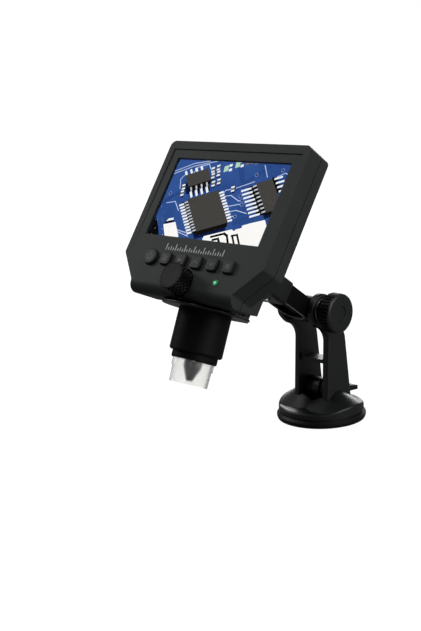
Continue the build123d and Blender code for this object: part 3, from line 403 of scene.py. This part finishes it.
LOW_PLATE = [(-38.0, -18.9), (-28.4, -16.4), (-20.7, -25.7), (-20.2, -28), (-31.6, -28)]
LOW_PAD = [(-36.6, -16.6), (-35.4, -14.6), (-31.4, -13.6), (-30.4, -16.2)]
PALE_PLATE = [(0.2, -23.8), (20.3, -17.5), (22.6, -18.5), (23.6, -17.2), (27.7, -15.9), (27.1, -14.5),
              (31.9, -12.7), (42.8, -9.4), (46.3, -13.6), (52, -30), (0, -30)]
PLATE_TRACKS = (([(6.4, -23.7), (15.8, -20.7), (18.6, -21.9), (23.4, -29)], 1.5),
                ([(8.6, -25.6), (12.4, -24.4), (16.8, -29)], 1.5),
                ([(22.8, -21.6), (30.0, -31)], 1.3), ([(22.4, -21.6), (26.2, -20.6), (33.6, -30)], 1.3))


def shifted(x, y, *points):
    return [(x + dx, y + dy) for dx, dy in points]


def draw_chips(pic):
    """The three chips and their legs: the large one in the middle, one above it and one at the right."""
    chip(pic, 0, 23.9, 0, 26.6, 3.0)
    legs(pic, 0, -1, 2.2, 25.6, 11, 6.6, 2.5)
    legs(pic, 23.9, 1, 2.0, 25.0, 11, 2.9, 2.1)
    chip(pic, 3.4, 21.4, -19.6, -9.7, 3.2)
    for i in range(4):
        a = 5.0 + i * 4.15
        line(pic, "hole", [(a + 0.2, -8.8), (a - 0.6, -3.0)], 3.0, 4)
        line(pic, "leg", [(a, -8.2), (a - 0.2, -6.5)], 1.2, 7)
        line(pic, "pad", [(a - 1.1, -4.6), (a - 1.4, -1.5)], 1.7, 7)
        line(pic, "pad", [(a - 0.4, -22.2), (a - 0.4, -20.4)], 1.6, 5)
    chip(pic, 51.3, 63.0, 3.8, 27.2, 2.4)
    legs(pic, 51.3, -1, 5.6, 26.4, 8, 11.0, 6.2)
    legs(pic, 63.0, 1, 4.0, 14.0, 4, 6.6, 4.6)


def draw_parts(pic):
    """Tracks, plated holes, small parts, and pads without parts."""
    for track in TRACKS:
        line(pic, "track", track, TRACK_W, 3, straight)
    for x, y in VIAS:
        via(pic, x, y)
    for x, y in SMALL_PARTS:
        small_part(pic, x, y)
    for x, y in SOLDER_PADS:
        pic.add("solder", shifted(x, y, (0, 0), (3.4, 1.2), (2.6, 5.2), (-0.8, 4.0)), 5)
        pic.add("pad", shifted(x, y, (4.2, 0.6), (6.4, 1.4), (5.9, 3.2), (3.7, 2.4)), 5)
        pic.add("pad", shifted(x, y, (3.2, 3.8), (5.4, 4.6), (4.9, 6.2), (2.7, 5.4)), 5)
    for x, y in EDGE_PARTS:
        pic.add("part", shifted(x, y, (0, 0), (2.4, 0.8), (2.0, 3), (-0.4, 2.4)), 5)


def draw_plates(pic):
    """The pale plates along the picture's lower edge."""
    pic.add("plate", LOW_PLATE, 4)
    pic.add("pad", LOW_PAD, 4)
    line(pic, "hole", [(-36.4, -17.4), (-31.0, -15.9)], 1.5, 5, straight)
    pic.add("plate", PALE_PLATE, 4)
    for points, width in PLATE_TRACKS:
        line(pic, "hole", points, width, 5, straight)


def draw_picture():
    """The magnified circuit board on the display."""
    pic = Picture()
    pic.add("board", [(-60, -40), (60, -40), (60, 40), (-60, 40)], 0)
    for band in BOARD_INNER:
        pic.add("inner", band, 1)
    pic.add("hole", BOARD_EDGE, 9)
    draw_chips(pic)
    draw_parts(pic)
    draw_plates(pic)
    pic.build({
        "board": lit_board("picture_board", (0.024, 0.066, 0.235), (0.032, 0.085, 0.285)),
        "inner": lit("picture_inner", (0.022, 0.060, 0.215)),
        "shade": lit("picture_shade", (0.004, 0.010, 0.045)),
        "chip_top": lit("picture_chip", (0.056, 0.053, 0.049)),
        "chip_side": lit("picture_chip_side", (0.006, 0.005, 0.005)),
        "leg": lit("picture_leg", (0.5, 0.52, 0.56)),
        "pad": lit("picture_pad", (0.78, 0.82, 0.88)),
        "hole": lit("picture_hole", (0.003, 0.003, 0.004)),
        "part": lit("picture_part", (0.16, 0.14, 0.12)),
        "solder": lit("picture_solder", (0.42, 0.62, 0.5)),
        "plate": lit("picture_plate", (0.9, 0.89, 0.87)),
        "track": lit("picture_track", (0.5, 0.6, 0.82)),
        "rim": lit("picture_rim", (0.17, 0.25, 0.55)),
    })


draw_picture()

# ------------------------------------------------------------------------------------------ small parts
def knurl(angle, n, crests, pitch):
    """Height of a diamond knurl, 0 in the grooves and 1 on the crests."""
    phase = crests * angle / 2
    return min(abs(math.sin(phase + math.pi * n / pitch)), abs(math.sin(phase - math.pi * n / pitch)))


def add_focus_knob():
    """The focus wheel with its diamond knurl, chamfered front edge, face rings and shallow dish."""
    crests, per_crest, pitch, depth, side_rows, chamfer = 18, 14, 3.0, 0.9, 62, 0.5
    around = crests * per_crest
    rows = []
    top = KNOB_FRONT - chamfer
    for i in range(side_rows + 1):
        t = i / side_rows
        n = KNOB_BACK + (top - KNOB_BACK) * t
        rows.append((KNOB_BACK_R + (KNOB_R - KNOB_BACK_R) * t, n, depth * min(1.0, 10 * t + 0.15)))
    rows.append((KNOB_R - 0.35, KNOB_FRONT - 0.15, 0.55))
    rows.append((KNOB_R - 0.7, KNOB_FRONT, 0.3))
    face = [(KNOB_R - 1.6, KNOB_FRONT), (KNOB_R - 1.75, KNOB_FRONT - 0.12), (KNOB_R - 1.95, KNOB_FRONT - 0.12),
            (KNOB_R - 2.1, KNOB_FRONT - 0.02), (5.0, KNOB_FRONT - 0.06), (2.0, KNOB_FRONT - 0.14)]
    rows += [(radius, n, 0.0) for radius, n in face]
    verts = []
    for radius, n, cut in rows:
        for j in range(around):
            angle = 2 * math.pi * j / around
            out = radius - cut * (1 - knurl(angle, n, crests, pitch)) if cut else radius
            verts.append((out * math.cos(angle), KNOB_V + out * math.sin(angle), n))
    faces = turned_faces(len(rows), around)
    verts += [(0, KNOB_V, KNOB_FRONT - 0.16), (0, KNOB_V, KNOB_BACK)]
    last = (len(rows) - 1) * around
    for j in range(around):
        k = (j + 1) % around
        faces.append((last + j, last + k, len(verts) - 2))
        faces.append((k, j, len(verts) - 1))
    knob = piece("focus_knob_knurled", verts, faces, MATERIALS["knob_black"], "focus_wheel")
    # the knurled side gets the darker grip black: painted shade in the grooves
    knob.data.materials.append(MATERIALS["grip_black_shaded"])
    for face in knob.data.polygons:
        face.material_index = 1 if face.index < (side_rows + 1) * around else 0
    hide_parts("focus_knob")


def add_clamp_knob():
    """The clamp knob with deep flutes round its grip, a rounded rim and a dished face."""
    flutes, per_flute, grip_rows, neck_r, narrow, steep = 34, 12, 12, 7.6, 1.45, 1.6
    around = flutes * per_flute
    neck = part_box("hinge_knob")[0].x / MM
    rows = [(5.0, neck, 0), (7.3, neck, 0), (neck_r, neck + 0.3, 0), (neck_r, GRIP_IN, 0), (GRIP_R - 1.2, GRIP_IN, 0)]
    rows += [(GRIP_R - 0.5, GRIP_IN + 0.15, 0.35), (GRIP_R, GRIP_IN + 0.7, 0.8)]
    rows += [(GRIP_R, GRIP_IN + 0.7 + (GRIP_OUT - 2.1 - GRIP_IN - 0.7) * i / 4, 0.85) for i in range(1, 5)]
    rows += [(GRIP_R - inset, GRIP_OUT - drop, cut) for inset, drop, cut in (
        (0, 1.75, 0.55), (0, 1.5, 0.12), (0.06, 1.2, 0), (0.35, 0.7, 0), (0.8, 0.3, 0), (1.4, 0.05, 0), (2.0, 0, 0))]
    rows += [(radius, GRIP_OUT - drop, 0) for radius, drop in ((5.6, 0.02), (5.2, 0.12), (4.9, 0.7))]
    verts = []
    for radius, x, depth in rows:
        for j in range(around):
            angle = 2 * math.pi * j / around
            groove = max(0.0, 1 - narrow * abs(math.sin(flutes * angle / 2)))
            out = radius - depth * min(1.0, steep * groove)
            verts.append((x, HINGE_Y + out * math.cos(angle), HINGE_Z + out * math.sin(angle)))
    faces = turned_faces(len(rows), around)
    last = (len(rows) - 1) * around
    verts.append((GRIP_OUT - 0.7, HINGE_Y, HINGE_Z))
    faces += [(last + j, last + (j + 1) % around, len(verts) - 1) for j in range(around)]
    knob = piece("hinge_knob_fluted", verts, faces, MATERIALS["stand_black"], "clamp_knob", WORLD)
    # the fluted grip gets the darker grip black: painted shade in the flutes
    knob.data.materials.append(MATERIALS["grip_black_shaded"])
    for face in knob.data.polygons:
        face.material_index = 1 if face.index < grip_rows * around else 0
    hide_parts("hinge_knob")


def flat_mark(name, shapes, n, material, body):
    """Printed marks: flat polygons in the head's plane, at height n."""
    verts, faces = [], []
    for shape in map(front_up, shapes):
        faces.append(tuple(range(len(verts), len(verts) + len(shape))))
        verts += [(x, y, n) for x, y in shape]
    return piece(name, verts, faces, material, body)


def bar(x0, y0, x1, y1, width):
    """A straight stroke."""
    p, q = Vector((x0, y0)), Vector((x1, y1))
    side = (q - p).normalized() * width / 2
    across = Vector((-side.y, side.x))
    return [tuple(p - across), tuple(q - across), tuple(q + across), tuple(p + across)]


def arc_bars(x, y, radius, start, end, width, count):
    """A curved stroke in short straight ones."""
    points = [(x + radius * math.cos(start + (end - start) * i / count),
               y + radius * math.sin(start + (end - start) * i / count)) for i in range(count + 1)]
    return [bar(*p, *q, width) for p, q in zip(points, points[1:])]


def add_key_marks():
    """Plain control signs, printed in grey on the keys."""
    grey = MATERIALS["mark_grey"]
    n = KEY_TOP + PRINT_LIFT
    signs = [
        [bar(-1.6, y, 1.6, y, 0.45) for y in (-1.2, 0, 1.2)],
        [[(-1.3, -1.5), (-1.3, 1.5), (1.5, 0)]],
        [bar(-1.6, -0.8, 0, 0.9, 0.5), bar(0, 0.9, 1.6, -0.8, 0.5)],
        [bar(-1.6, 0.8, 0, -0.9, 0.5), bar(0, -0.9, 1.6, 0.8, 0.5)],
        [bar(-1.5, -1.1, 1.5, -1.1, 0.4), bar(-1.5, 1.1, 1.5, 1.1, 0.4), bar(-1.5, -1.1, -1.5, 1.1, 0.4),
         bar(1.5, -1.1, 1.5, 1.1, 0.4), [(-0.6, -0.6), (0.6, -0.6), (0.6, 0.6), (-0.6, 0.6)]],
    ]
    for i, (u, shapes) in enumerate(zip(KEY_US, signs), 1):
        moved = [[(x + u, y + KEY_V) for x, y in shape] for shape in shapes]
        flat_mark(f"key_{i}_sign", moved, n, grey, f"key_{i}_body")
    power = arc_bars(POWER_U, KEY_V, 1.9, math.radians(125), math.radians(415), 0.5, 14)
    power.append(bar(POWER_U, KEY_V + 0.5, POWER_U, KEY_V + 2.5, 0.5))
    flat_mark("power_sign", power, n, grey, "power")


def add_scale():
    """A plain printed scale in the band between the display and the keys."""
    marks = []
    for i in range(SCALE_MARKS):
        u = SCALE_U + SCALE_STEP * i
        top = SCALE_V + (SCALE_TALL if i % 4 == 0 else SCALE_MIDDLE if i % 2 == 0 else SCALE_LOW)
        left, right = u - SCALE_HALF_W, u + SCALE_HALF_W
        marks.append([(left, SCALE_V), (right, SCALE_V), (right, top), (left, top)])
    flat_mark("scale_marks", marks, FACE_N + PRINT_LIFT, MATERIALS["mark_white"], "head")


def add_light_bezel():
    """Thin raised ring round the status light, and the bright spot of the lamp in it: the lamp's glow, set off centre
    as a painted highlight too.
    """
    around, spot_sides, spot_r, spot_shift = 32, 20, 0.75, 0.1
    rows = [(LIGHT_R + 0.05, 0.1), (LIGHT_R + 0.15, 0.28), (LIGHT_R + 0.6, 0.28), (LIGHT_R + 0.85, 0.02)]
    verts = []
    for radius, n in rows:
        for j in range(around):
            angle = 2 * math.pi * j / around
            verts.append((LIGHT_U + radius * math.cos(angle), LIGHT_V + radius * math.sin(angle), FACE_N + n))
    faces = [(a, d, c, b) for a, b, c, d in turned_faces(len(rows), around)]
    piece("light_bezel", verts, faces, MATERIALS["light_rim"], "head", smooth=True)
    spot = [(LIGHT_U - spot_shift + spot_r * math.cos(math.tau * i / spot_sides),
             LIGHT_V + spot_shift + spot_r * math.sin(math.tau * i / spot_sides)) for i in range(spot_sides)]
    flat_mark("light_spot", [spot], FACE_N + SPOT_PROUD, MATERIALS["lamp_glow_and_highlight"], "head")


def add_arm_rim():
    """Rounded bead round the open trough in the arm's underside, all in pale grey: a painted highlight along the
    trough's edge.
    """
    side_points, side_step, end_points, sides = 9, 2.0, 24, 10
    path = [(TROUGH_RIM_X, TROUGH_NEAR - side_step * i) for i in range(side_points)]
    path += [(TROUGH_RIM_X * math.cos(math.pi * i / end_points),
              TROUGH_END - TROUGH_RIM_X * math.sin(math.pi * i / end_points)) for i in range(end_points + 1)]
    path += [(-TROUGH_RIM_X, TROUGH_NEAR - side_step * i) for i in reversed(range(side_points))]
    verts = []
    for i, (x, n) in enumerate(path):
        ahead, behind = Vector(path[min(i + 1, len(path) - 1)]), Vector(path[max(i - 1, 0)])
        along = (ahead - behind).normalized()
        for j in range(sides):
            turn = 2 * math.pi * j / sides
            out = TROUGH_RIM_R * math.cos(turn)
            verts.append((x + along.y * out, ARM_LOW + TROUGH_RIM_R * math.sin(turn), n - along.x * out))
    last = (len(path) - 1) * sides
    faces = turned_faces(len(path), sides) + [tuple(reversed(range(sides))), tuple(range(last, last + sides))]
    piece("arm_trough_rim", verts, faces, MATERIALS["painted_highlight_grey"], "arm", smooth=True)


add_focus_knob()
add_clamp_knob()
add_arm_rim()
add_key_marks()
add_scale()
add_light_bezel()

# ------------------------------------------------------------------------------------------ camera
IMAGE_H, FOCAL_PIXELS, SENSOR = 631, 1186.54, 36.0          # height of the frame and focal length in pixels
AZIMUTH, ELEVATION, ROLL = math.radians(45.28), math.radians(13.01), math.radians(2.71)
CAMERA_AT = (502.93, -600.87, 254.34)


def add_camera():
    data = bpy.data.cameras.new("camera")
    data.sensor_fit, data.sensor_width = "AUTO", SENSOR
    data.lens = FOCAL_PIXELS * SENSOR / IMAGE_H
    data.clip_start, data.clip_end = 0.05, 20
    cam = bpy.data.objects.new("camera", data)
    bpy.context.collection.objects.link(cam)
    ahead = Vector((-math.sin(AZIMUTH) * math.cos(ELEVATION), math.cos(AZIMUTH) * math.cos(ELEVATION),
                    -math.sin(ELEVATION)))
    level = Vector((math.cos(AZIMUTH), math.sin(AZIMUTH), 0))
    below = ahead.cross(level)
    right = level * math.cos(ROLL) + below * math.sin(ROLL)
    down = below * math.cos(ROLL) - level * math.sin(ROLL)
    cam.matrix_world = basis(right, -down, -ahead, Vector(CAMERA_AT) * MM)
    bpy.context.scene.camera = cam


add_camera()

# ------------------------------------------------------------------------------------------ floor and light
scene = bpy.context.scene
scene.view_settings.view_transform = "Standard"
AMBIENT = 0.03                                              # light from all round
GLOSS_SHARE = 0.06                                          # how much of the white surroundings shows in gloss
FLOOR_GLOW, GLOW_NEAR, GLOW_FAR = 0.94, 0.2, 1.2            # the floor's glow, full white from GLOW_FAR metres on
FLOOR_SHADE, FLOOR_HALF = 0.15, 6.0
TARGET = (0, -0.05, 0.11)                                   # where the lights point
LIGHTS = (                                                  # name, place, size in metres and watts
    ("key_light", (-1.05, -0.4, 0.68), (0.4, 0.4), 3.5),
    ("back_light", (-0.66, 0.95, 0.34), (1.0, 0.5), 7.4),
    ("top_light", (-0.25, -0.35, 1.15), (0.6, 0.6), 4.2),
    ("side_light", (1.0, 0.08, 0.5), (0.9, 0.8), 7.6))


def seen_as_white(tree):
    """1 for camera and transmission rays and GLOSS_SHARE for glossy ones, so that metal and glass show white too."""
    rays = tree.nodes.new("ShaderNodeLightPath")
    direct = tree.nodes.new("ShaderNodeMath")
    direct.operation = "MAXIMUM"
    tree.links.new(rays.outputs["Is Camera Ray"], direct.inputs[0])
    tree.links.new(rays.outputs["Is Transmission Ray"], direct.inputs[1])
    share = tree.nodes.new("ShaderNodeMath")
    share.operation = "MULTIPLY"
    share.inputs[1].default_value = GLOSS_SHARE
    tree.links.new(rays.outputs["Is Glossy Ray"], share.inputs[0])
    most = tree.nodes.new("ShaderNodeMath")
    most.operation = "MAXIMUM"
    tree.links.new(direct.outputs[0], most.inputs[0])
    tree.links.new(share.outputs[0], most.inputs[1])
    return most


def backdrop_material():
    """White paper that keeps the object's shadow, and glows white to the camera and fainter in gloss."""
    m, tree, bsdf = new_material("backdrop")
    bsdf.inputs["Base Color"].default_value = (FLOOR_SHADE, FLOOR_SHADE, FLOOR_SHADE, 1)
    bsdf.inputs["Roughness"].default_value = 0.9
    bsdf.inputs["Specular IOR Level"].default_value = 0.1
    glow = tree.nodes.new("ShaderNodeEmission")
    coords = tree.nodes.new("ShaderNodeTexCoord")
    away = tree.nodes.new("ShaderNodeVectorMath")
    away.operation = "LENGTH"
    tree.links.new(coords.outputs["Object"], away.inputs[0])
    share = tree.nodes.new("ShaderNodeMapRange")
    share.inputs["From Min"].default_value, share.inputs["From Max"].default_value = GLOW_NEAR, GLOW_FAR
    share.inputs["To Min"].default_value, share.inputs["To Max"].default_value = FLOOR_GLOW, 1.0
    tree.links.new(away.outputs["Value"], share.inputs["Value"])
    scale = tree.nodes.new("ShaderNodeMath")
    scale.operation = "MULTIPLY"
    tree.links.new(seen_as_white(tree).outputs[0], scale.inputs[0])
    tree.links.new(share.outputs["Result"], scale.inputs[1])
    tree.links.new(scale.outputs[0], glow.inputs["Strength"])
    both = tree.nodes.new("ShaderNodeAddShader")
    tree.links.new(bsdf.outputs["BSDF"], both.inputs[0])
    tree.links.new(glow.outputs["Emission"], both.inputs[1])
    tree.links.new(both.outputs["Shader"], tree.nodes["Material Output"].inputs["Surface"])
    return m


def add_floor():
    mesh = bpy.data.meshes.new("floor")
    side = FLOOR_HALF
    mesh.from_pydata([(-side, -side, 0), (side, -side, 0), (side, side, 0), (-side, side, 0)], [], [(0, 1, 2, 3)])
    floor = bpy.data.objects.new("floor", mesh)
    bpy.context.collection.objects.link(floor)
    mesh.materials.append(backdrop_material())


def add_world():
    world = bpy.data.worlds.new("world")
    scene.world = world
    world.use_nodes = True
    tree = world.node_tree
    dim = tree.nodes["Background"]
    dim.inputs["Color"].default_value = (1, 1, 1, 1)
    dim.inputs["Strength"].default_value = AMBIENT
    white = tree.nodes.new("ShaderNodeBackground")
    white.inputs["Color"].default_value = (1, 1, 1, 1)
    white.inputs["Strength"].default_value = 1.0
    mix = tree.nodes.new("ShaderNodeMixShader")
    tree.links.new(seen_as_white(tree).outputs[0], mix.inputs["Fac"])
    tree.links.new(dim.outputs["Background"], mix.inputs[1])
    tree.links.new(white.outputs["Background"], mix.inputs[2])
    tree.links.new(mix.outputs["Shader"], tree.nodes["World Output"].inputs["Surface"])


def add_softbox(name, place, size, power):
    """A soft light that points at the object and that the camera doesn't see."""
    data = bpy.data.lights.new(name, "AREA")
    data.shape, data.size, data.size_y, data.energy = "RECTANGLE", size[0], size[1], power
    light = bpy.data.objects.new(name, data)
    bpy.context.collection.objects.link(light)
    light.location = place
    light.visible_camera = False
    light.rotation_mode = "QUATERNION"
    light.rotation_quaternion = (Vector(TARGET) - Vector(place)).to_track_quat("-Z", "Y")


add_floor()
add_world()
for row in LIGHTS:
    add_softbox(*row)
